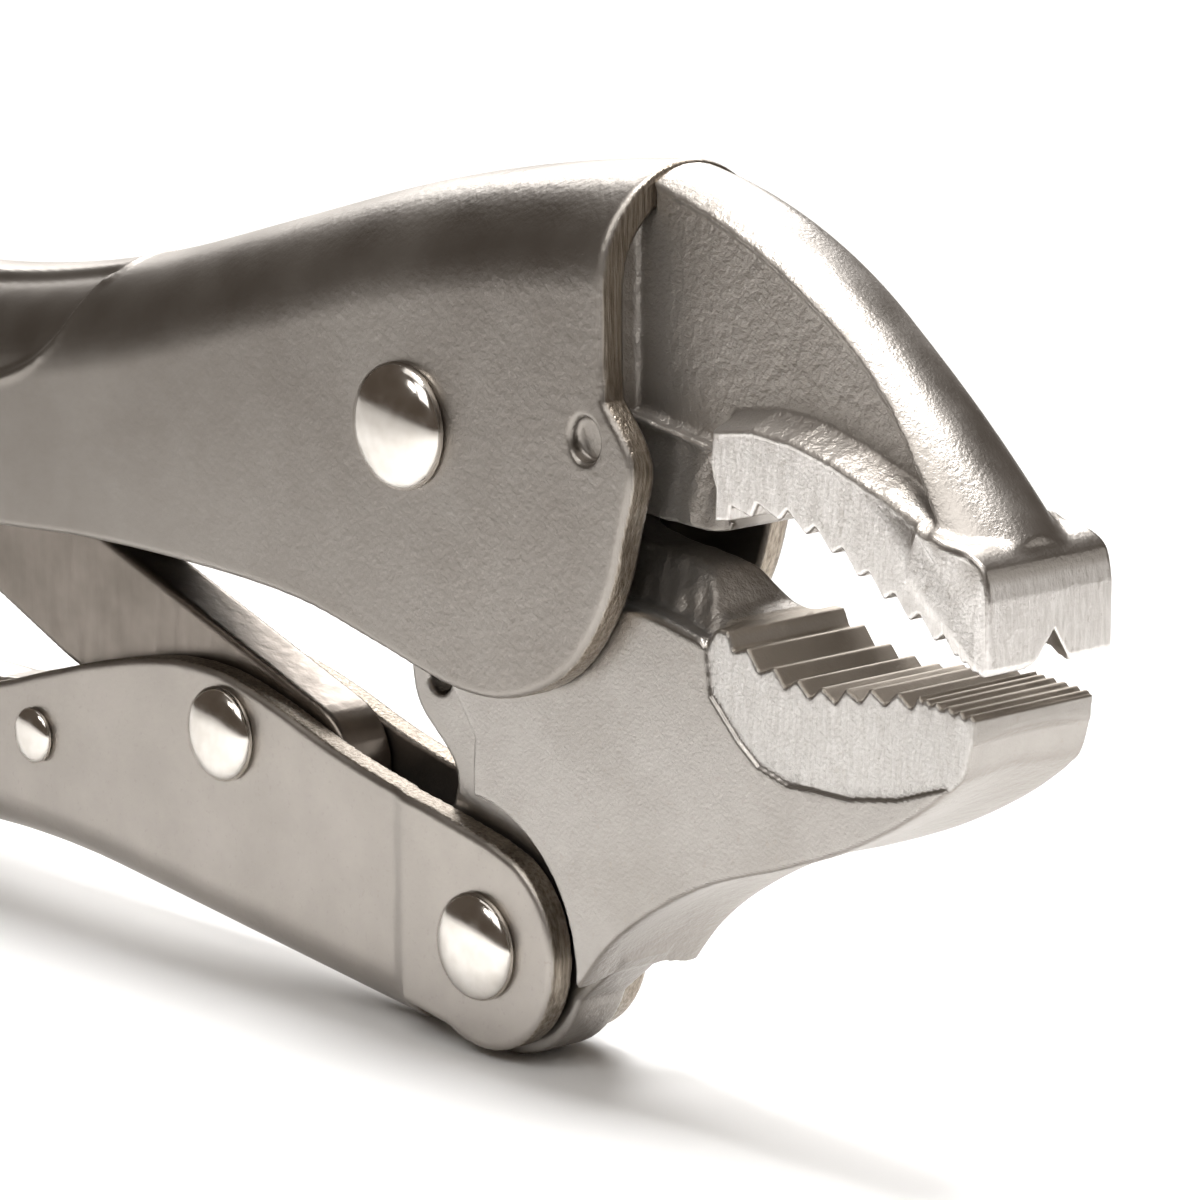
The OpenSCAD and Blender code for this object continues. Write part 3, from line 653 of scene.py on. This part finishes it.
def make_screw():
    """The rod, with a true helix inside the CAD rod's envelope."""
    low, high = node_box("adjusting_screw")
    top, pitch, segments = 4.0, 1.25, 40
    start = low[0] + 8.6
    rows = steps((low[0], start, 0.6), (start, high[0] - 4, 0.16), (high[0] - 4, high[0], 0.25))
    points = []
    for x in rows:
        for k in range(segments):
            a = 2 * math.pi * k / segments
            phase = ((x - start) / pitch - k / segments) % 1
            ridge = np.clip(1.6 - 4 * abs(phase - 0.5), 0, 1)
            fade = smooth(start, start + 1, x) * smooth(high[0] - 4.2, high[0] - 5.2, x)
            r = top - 0.8 + 0.8 * fade * (0.19 + 0.81 * ridge) if fade > 0 else top - 0.8
            tip = high[0] - x
            if tip < 3.2:
                r = math.sqrt(max(3.2 ** 2 - (3.2 - tip) ** 2, 1e-4))
            points.append((x, r * math.cos(a), SCREW_Z + r * math.sin(a)))
    return piece("adjusting_screw_rod", "screw", "adjusting_screw", points,
                 bands(len(rows), segments))


def make_knob():
    """A fluted knob with rounded rims and a hexagon socket in its end."""
    low, high = node_box("adjusting_knob")
    length, r, flutes, segments = high[0] - low[0], (high[1] - low[1]) / 2, 28, 28 * 8
    socket, depth = 3.2, 5.0
    rows = [("hex", 0.3, depth), ("hex", 1, depth), ("hex", 1, 0.4), ("hex", 1.12, 0.0)]
    rows += [("ring", rr, h) for rr, h in ((4.9, 0), (5.2, 0.25), (6.0, 0.25), (6.3, 0))]
    for k in range(7):
        a = math.pi / 2 * k / 6
        rows.append(("rim", r - 1.3 + 1.3 * math.sin(a), 1.3 - 1.3 * math.cos(a)))
    rows += [("flute", r, h) for h in np.linspace(1.9, length - 1.9, 10)]
    for k in range(7):
        a = math.pi / 2 * k / 6
        rows.append(("rim", r - 1.3 + 1.3 * math.cos(a), length - 1.3 + 1.3 * math.sin(a)))
    rows += [("ring", 4.2, length), ("ring", 3.3, length - 0.3), ("ring", 3.3, length - 3)]
    points = []
    for kind, rr, h in rows:
        for k in range(segments):
            a = 2 * math.pi * k / segments
            if kind == "hex":
                wedge = (a + math.pi / 6) % (math.pi / 3) - math.pi / 6
                rad = rr * socket / math.cos(wedge)
            elif kind == "ring":
                rad = rr
            else:
                groove = max(0.0, math.cos(flutes * a)) ** 2
                rad = rr - 0.42 * groove * (1.0 if kind == "flute" else smooth(r - 1.0, r, rr))
            points.append((low[0] + h, rad * math.cos(a), SCREW_Z + rad * math.sin(a)))
    # The rings run from the socket's floor outwards, so the faces are turned round
    faces = [f[::-1] for f in bands(len(rows), segments)]
    return piece("adjusting_knob_fluted", "knob", "adjusting_knob", points, faces)


def make_spring():
    """A close coil between two hooks, swept as a round wire."""
    a, b = SPRING_FRONT, SPRING_REAR
    span = np.hypot(*(b - a))
    along = (b - a) / span
    across = np.array([-along[1], along[0]])
    r, wire, turns, front, rear = 2.7, 0.45, 18, 11.0, 5.0
    lead, path = 0.08, []
    for t in np.linspace(0, 1, turns * 22 + 1):
        at_front, at_rear = t < lead, t > 1 - lead
        u = t / lead if at_front else (1 - t) / lead if at_rear else 1.0
        reach = max(0.0, (u - 0.15) / 0.85)
        v = (front * reach if at_front else span - rear * reach if at_rear
             else front + (span - front - rear) * (t - lead) / (1 - 2 * lead))
        ang = 2 * math.pi * turns * (min(max(t, lead), 1 - lead) - lead) / (1 - 2 * lead)
        out = (LUG if at_front else 1.0) + 0.75
        aside = out * min(1, u / 0.2) * min(1, (1 - u) / 0.3) if u < 1 else 0.0
        c = a + along * v + across * r * reach * math.cos(ang)
        path.append((c, r * reach * math.sin(ang) + aside))
    centre = np.array([[p[0], y, p[1]] for p, y in path])
    tangent = np.gradient(centre, axis=0)
    tangent /= np.linalg.norm(tangent, axis=1)[:, None]
    guide = np.array([along[0], 0.33, along[1]])
    n = np.cross(tangent, guide)
    n /= np.linalg.norm(n, axis=1)[:, None]
    m = np.cross(tangent, n)
    segments = 10
    points = [c + wire * (math.cos(t) * u + math.sin(t) * v) for c, u, v in zip(centre, n, m)
              for t in np.linspace(0, 2 * math.pi, segments, endpoint=False)]
    obj = piece("return_spring_coil", "upper_frame", "return_spring", points,
                bands(len(centre), segments))
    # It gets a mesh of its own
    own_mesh(obj)
    return obj


# ---------------------------------------------------------------- materials


class Look:
    """A short way to write a node material."""

    def __init__(self, name):
        self.material = bpy.data.materials.new(name)
        self.material.use_nodes = True
        self.tree = self.material.node_tree
        self.shader = self.tree.nodes["Principled BSDF"]
        self.coords = self.tree.nodes.new("ShaderNodeTexCoord").outputs["Object"]

    def node(self, kind, **values):
        n = self.tree.nodes.new("ShaderNode" + kind)
        for key, value in values.items():
            if key in n.inputs:
                self.put(n.inputs[key], value)
            else:
                setattr(n, key, value)
        return n

    def put(self, socket, value):
        if isinstance(value, bpy.types.NodeSocket):
            self.tree.links.new(value, socket)
        else:
            socket.default_value = value

    def stretched(self, x, y, z):
        return self.node("Mapping", Vector=self.coords, Scale=(x, y, z)).outputs[0]

    def noise(self, scale, detail=3.0, roughness=0.5, vector=None):
        return self.node("TexNoise", Vector=vector or self.coords, Scale=scale, Detail=detail,
                         Roughness=roughness).outputs["Fac"]

    def math(self, op, a, b=0.0):
        n = self.tree.nodes.new("ShaderNodeMath")
        n.operation = op
        self.put(n.inputs[0], a)
        self.put(n.inputs[1], b)
        return n.outputs[0]

    def ramp(self, value, low, high, to_low=0.0, to_high=1.0):
        n = self.node("MapRange", Value=value)
        n.inputs["From Min"].default_value = low
        n.inputs["From Max"].default_value = high
        self.put(n.inputs["To Min"], to_low)
        self.put(n.inputs["To Max"], to_high)
        return n.outputs[0]

    def mix(self, factor, a, b):
        n = self.tree.nodes.new("ShaderNodeMix")
        n.data_type = "RGBA"
        self.put(n.inputs[0], factor)
        self.put(n.inputs[6], (*a, 1) if isinstance(a, tuple) else a)
        self.put(n.inputs[7], (*b, 1) if isinstance(b, tuple) else b)
        return n.outputs[2]

    def attribute(self, name):
        return self.node("Attribute", attribute_name=name).outputs["Fac"]

    def bump(self, height, distance, strength=1.0, under=None):
        n = self.node("Bump", Height=height, Strength=strength, Distance=distance)
        if under is not None:
            self.tree.links.new(under, n.inputs["Normal"])
        return n.outputs["Normal"]

    def finish(self, color, roughness, normal=None, metallic=1.0):
        s = self.shader
        self.put(s.inputs["Base Color"], color)
        self.put(s.inputs["Roughness"], roughness)
        self.put(s.inputs["Metallic"], metallic)
        if normal is not None:
            self.tree.links.new(normal, s.inputs["Normal"])
        return self.material


def sheet_nickel(name, low, high):
    """Satin nickel on sheet: orange peel towards the front, smoother on the grip, dark cut edges."""
    m = Look(name)
    cut, front = m.attribute("cut"), m.attribute("front")
    peel = m.noise(1500, 3, 0.55)
    clouds = m.noise(90, 4, 0.6)
    specks = m.ramp(m.noise(2600, 2, 0.5), 0.62, 0.72)
    streaks = m.noise(1, 3, 0.6, m.stretched(3200, 3200, 260))
    tone = m.mix(m.ramp(clouds, 0.35, 0.65), low, high)
    tone = m.mix(m.math("MULTIPLY", specks, 0.25), tone, (0.29, 0.26, 0.23))
    edge = m.mix(m.ramp(streaks, 0.35, 0.65), (0.20, 0.165, 0.13), (0.40, 0.35, 0.29))
    color = m.mix(cut, tone, edge)
    rough = m.ramp(clouds, 0.3, 0.7, 0.34, 0.42)
    height = m.math("MULTIPLY", peel, m.ramp(front, 0, 1, 0.25, 1.0))
    height = m.math("ADD", height, m.math("MULTIPLY", m.math("MULTIPLY", streaks, cut), 2.0))
    return m.finish(color, rough, m.bump(height, 0.00006, 0.9))


def cast_nickel(name, low, high, ground):
    """Nickel on a forging: rough where cast, fine vertical brush marks where ground."""
    m = Look(name)
    cast, machined, tooth_top_shade = m.attribute("cast"), m.attribute("machined"), m.attribute("tooth_top_shade")
    peel = m.noise(900, 4, 0.6)
    fine = m.noise(3600, 2, 0.5)
    clouds = m.noise(120, 4, 0.6)
    brush = m.noise(1, 3, 0.55, m.stretched(2600, 2600, 500))
    specks = m.ramp(m.noise(1500, 3, 0.6), 0.62, 0.70)
    tone = m.mix(m.ramp(clouds, 0.35, 0.65), low, high)
    tone = m.mix(m.math("MULTIPLY", cast, 0.6), tone, (0.27, 0.243, 0.216))
    tone = m.mix(m.math("MULTIPLY", machined, m.ramp(brush, 0.35, 0.65, 0.6, 1.0)), tone, ground)
    # Painted shade: up-facing tooth surfaces of the lower jaw are mixed towards a darker tone
    tone = m.mix(tooth_top_shade, tone, (0.36, 0.32, 0.275))
    tone = m.mix(m.math("MULTIPLY", specks, 0.35), tone, (0.34, 0.30, 0.26))
    rough = m.ramp(cast, 0, 1, m.ramp(clouds, 0.3, 0.7, 0.30, 0.40), 0.42)
    rough = m.ramp(tooth_top_shade, 0, 1, rough, 0.58)
    height = m.math("MULTIPLY", peel, m.ramp(cast, 0, 1, 0.45, 2.6))
    height = m.math("ADD", height, m.math("MULTIPLY", fine, 0.25))
    height = m.math("ADD", height, m.math("MULTIPLY", m.math("MULTIPLY", brush, machined), 0.9))
    return m.finish(tone, rough, m.bump(height, 0.00008, 0.9), m.ramp(cast, 0, 1, 1.0, 0.75))


def polished_nickel():
    """Bright rivet heads with faint set marks."""
    m = Look("polished_nickel")
    haze = m.noise(700, 3, 0.5)
    color = m.mix(m.ramp(haze, 0.3, 0.7), (0.66, 0.62, 0.57), (0.78, 0.745, 0.70))
    return m.finish(color, m.ramp(haze, 0.3, 0.7, 0.10, 0.18), m.bump(m.noise(260, 2, 0.5), 0.00012, 0.35))


def plain_steel(name, low, high, rough_low, rough_high, stretch=(1, 1, 1), scale=900, depth=0.00005):
    """A brushed or drawn steel with a grain along one axis."""
    m = Look(name)
    grain = m.noise(scale, 3, 0.6, m.stretched(*stretch))
    clouds = m.noise(150, 3, 0.6)
    color = m.mix(m.ramp(clouds, 0.3, 0.7), low, high)
    rough = m.ramp(grain, 0.3, 0.7, rough_low, rough_high)
    return m.finish(color, rough, m.bump(grain, depth, 0.8))


def paint(obj, material):
    obj.data.materials.clear()
    obj.data.materials.append(material)


# ---------------------------------------------------------------- build

# One satin nickel in two tones: the upper handle's copy is painted darker as shade, the lower handle's copy
# painted lighter as light
UPPER_SHEET_LOOK = sheet_nickel("satin_nickel_upper_sheet", (0.27, 0.246, 0.222), (0.325, 0.30, 0.274))
LOWER_SHEET_LOOK = sheet_nickel("satin_nickel_lower_sheet", (0.37, 0.34, 0.31), (0.445, 0.41, 0.375))
# One nickel forging in two tones: the lower jaw's copy, its ground faces too, is painted darker as shade
FORGED = cast_nickel("satin_nickel_forging", (0.38, 0.352, 0.322), (0.47, 0.44, 0.41), (0.75, 0.722, 0.695))
LOWER_FORGED = cast_nickel("satin_nickel_lower_forging", (0.34, 0.317, 0.292), (0.42, 0.395, 0.37),
                           (0.55, 0.53, 0.508))
RIVET = polished_nickel()
LINK_STEEL = plain_steel("dark_link_steel", (0.20, 0.175, 0.15), (0.28, 0.245, 0.215), 0.28, 0.42,
                         (1, 1, 0.2))
LEVER_STEEL = plain_steel("satin_lever_steel", (0.56, 0.52, 0.48), (0.67, 0.63, 0.585), 0.28, 0.38,
                          (0.2, 1, 1))
BUSH_STEEL = plain_steel("turned_bush_steel", (0.44, 0.40, 0.36), (0.55, 0.51, 0.46), 0.25, 0.36,
                         (1, 0.1, 0.1))
SCREW_STEEL = plain_steel("rolled_screw_steel", (0.50, 0.46, 0.42), (0.60, 0.56, 0.51), 0.22, 0.34,
                          (1, 0.2, 0.2))
KNOB_STEEL = plain_steel("knob_nickel", (0.60, 0.56, 0.52), (0.70, 0.665, 0.62), 0.20, 0.30,
                         (1, 0.3, 0.3))
SPRING_STEEL = plain_steel("drawn_spring_wire", (0.34, 0.30, 0.26), (0.46, 0.41, 0.36), 0.25, 0.36)

paint(make_upper_handle(), UPPER_SHEET_LOOK)
paint(make_fixed_jaw(), FORGED)
paint(make_lower_jaw(), LOWER_FORGED)
paint(make_lower_handle(), LOWER_SHEET_LOOK)
paint(make_link(), LINK_STEEL)
paint(make_lever(), LEVER_STEEL)
paint(make_anchor(), BUSH_STEEL)
for name, node, body, centre, head_r, height, seat, shank_r in (
        ("main_rivet", "main_pivot_rivet", "upper_frame", MAIN, 5.0, 2.3, UPPER, 3.6),
        ("front_rivet", "front_pivot_rivet", "lower_handle_body", FRONT, 4.3, 1.9, WALL_OUT + 0.35, 2.9),
        ("link_rivet_domed", "link_rivet", "lower_handle_body", LINK, 3.95, 1.8, WALL_OUT, 2.5),
        ("lever_rivet", "release_lever_rivet", "lower_handle_body", LEVER, 2.4, 1.1, WALL_OUT, 1.5)):
    paint(make_rivet(name, node, body, centre, head_r, height, seat, shank_r), RIVET)
paint(make_bush(), BUSH_STEEL)
paint(make_screw(), SCREW_STEEL)
paint(make_knob(), KNOB_STEEL)
paint(make_spring(), SPRING_STEEL)

# ---------------------------------------------------------------- stage, light and camera

TARGET = Vector(ORIGIN) + Vector((12.6, 0, -12.9)) * MM
AZIMUTH, ELEVATION, DISTANCE, LENS = math.radians(48), math.radians(12.5), 0.45, 176.9
BACK = Vector((math.sin(AZIMUTH) * math.cos(ELEVATION), -math.cos(AZIMUTH) * math.cos(ELEVATION),
               math.sin(ELEVATION)))


def make_floor():
    mesh = bpy.data.meshes.new("floor")
    half = 6.0
    mesh.from_pydata([(-half, -half, 0), (half, -half, 0), (half, half, 0), (-half, half, 0)], [],
                     [(0, 1, 2, 3)])
    obj = bpy.data.objects.new("floor", mesh)
    bpy.context.scene.collection.objects.link(obj)
    m = Look("floor_white")
    paint(obj, m.finish((0.9, 0.9, 0.895, 1), 0.6, None, 0.0))


def aim(name, data, location, target):
    """A light or camera at location, turned to target."""
    obj = bpy.data.objects.new(name, data)
    obj.location = location
    obj.rotation_mode = "QUATERNION"
    obj.rotation_quaternion = (Vector(target) - Vector(location)).to_track_quat("-Z", "Y")
    bpy.context.scene.collection.objects.link(obj)
    return obj


def area_light(name, location, size, power, color):
    data = bpy.data.lights.new(name, "AREA")
    data.shape = "RECTANGLE"
    data.size, data.size_y = size, size
    data.energy, data.color = power, color
    aim(name, data, location, TARGET)


def spot_light(name, location, target, power, angle, blend, radius):
    data = bpy.data.lights.new(name, "SPOT")
    data.energy, data.spot_size, data.spot_blend, data.shadow_soft_size = power, angle, blend, radius
    aim(name, data, location, target)


make_floor()
WARM, NEUTRAL = (1, 0.985, 0.96), (1, 0.99, 0.98)
area_light("overhead_softbox", (0.0, 0.0, 0.8), 0.6, 1.3, (1, 0.985, 0.965))
spot_light("table_spot", (0.12, 0.02, 0.8), (0.1, -0.04, 0), 60.0, math.radians(27), 0.8, 0.2)
area_light("background_softbox", (-0.97, 0.86, 1.03), 1.1, 26.0, NEUTRAL)
area_light("right_softbox", (0.62, 0.42, 0.22), 0.34, 0.3, WARM)
area_light("camera_side_softbox", (0.35, -0.5, 0.7), 0.5, 2.0, NEUTRAL)
area_light("front_high_softbox", (-0.02, -0.62, 0.62), 0.2, 0.85, WARM)
world = bpy.data.worlds.new("studio")
world.use_nodes = True
world.node_tree.nodes["Background"].inputs[0].default_value = (1.0, 0.80, 0.64, 1)
world.node_tree.nodes["Background"].inputs[1].default_value = 0.10
bpy.context.scene.world = world

camera = aim("camera", bpy.data.cameras.new("camera"), TARGET + BACK * DISTANCE, TARGET)
camera.data.sensor_width = 36.0
camera.data.lens = LENS
camera.data.clip_start, camera.data.clip_end = 0.01, 20.0
bpy.context.scene.camera = camera
bpy.context.scene.view_settings.view_transform = "Standard"
